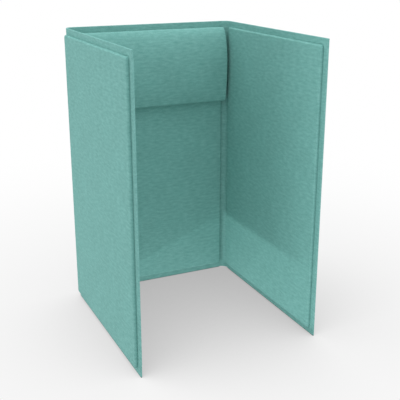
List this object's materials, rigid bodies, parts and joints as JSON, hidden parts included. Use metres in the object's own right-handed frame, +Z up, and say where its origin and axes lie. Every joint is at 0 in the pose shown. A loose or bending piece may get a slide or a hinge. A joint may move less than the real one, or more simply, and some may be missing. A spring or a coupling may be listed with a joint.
{
  "type": "seating partition",
  "caption": "Three-sided upholstered screen round a seat: a padded back with a bowed headrest cushion and two padded wings that fold on cloth hinges.",
  "frame": {"origin": "on the floor, under the middle of the whole screen", "axes": "+Z up, +X to the right seen from the open front, +Y towards the back panel; the open front faces -Y"},
  "size_m": [0.913, 0.954, 1.4],
  "materials": {
    "upholstery": "woven wool-like cloth, matt, light melange",
    "foam": "open-cell foam",
    "core_board": "plain fibreboard",
    "pad_board": "plain fibreboard",
    "clips": "moulded nylon",
    "wear_strip": "extruded, matt",
    "corner_web": "flexible foam rubber",
    "tape": "woven hook and loop tape"
  },
  "bodies": {
    "back": {"back_core_board": "core_board", "back_core_sleeve": "upholstery", "back_floor_strip": "wear_strip", "back_inner_pad_board": "pad_board", "back_inner_pad_foam": "foam", "back_inner_pad_cover": "upholstery", "back_inner_clips": "clips", "back_outer_pad_board": "pad_board", "back_outer_pad_foam": "foam", "back_outer_pad_cover": "upholstery", "back_outer_clips": "clips", "headrest_board": "pad_board", "headrest_foam": "foam", "headrest_cover": "upholstery", "headrest_hook_tapes": "tape", "headrest_loop_tapes": "tape", "left_corner_web": "corner_web", "left_corner_sleeve": "upholstery", "right_corner_web": "corner_web", "right_corner_sleeve": "upholstery"},
    "left_wing": {"left_core_board": "core_board", "left_core_sleeve": "upholstery", "left_floor_strip": "wear_strip", "left_inner_pad_board": "pad_board", "left_inner_pad_foam": "foam", "left_inner_pad_cover": "upholstery", "left_inner_clips": "clips", "left_outer_pad_board": "pad_board", "left_outer_pad_foam": "foam", "left_outer_pad_cover": "upholstery", "left_outer_clips": "clips"},
    "right_wing": {"right_core_board": "core_board", "right_core_sleeve": "upholstery", "right_floor_strip": "wear_strip", "right_inner_pad_board": "pad_board", "right_inner_pad_foam": "foam", "right_inner_pad_cover": "upholstery", "right_inner_clips": "clips", "right_outer_pad_board": "pad_board", "right_outer_pad_foam": "foam", "right_outer_pad_cover": "upholstery", "right_outer_clips": "clips"}
  },
  "joints": [
    {"name": "left_wing_fold", "type": "hinge", "parent": "back", "child": "left_wing", "pos_m": [-0.43066, 0.45116, 0.7], "axis": [0, 0, -1], "range_deg": [-5, 90], "deforming": ["left_corner_web", "left_corner_sleeve"]},
    {"name": "right_wing_fold", "type": "hinge", "parent": "back", "child": "right_wing", "pos_m": [0.43066, 0.45116, 0.7], "axis": [0, 0, 1], "range_deg": [-5, 90], "deforming": ["right_corner_web", "right_corner_sleeve"]}
  ]
}
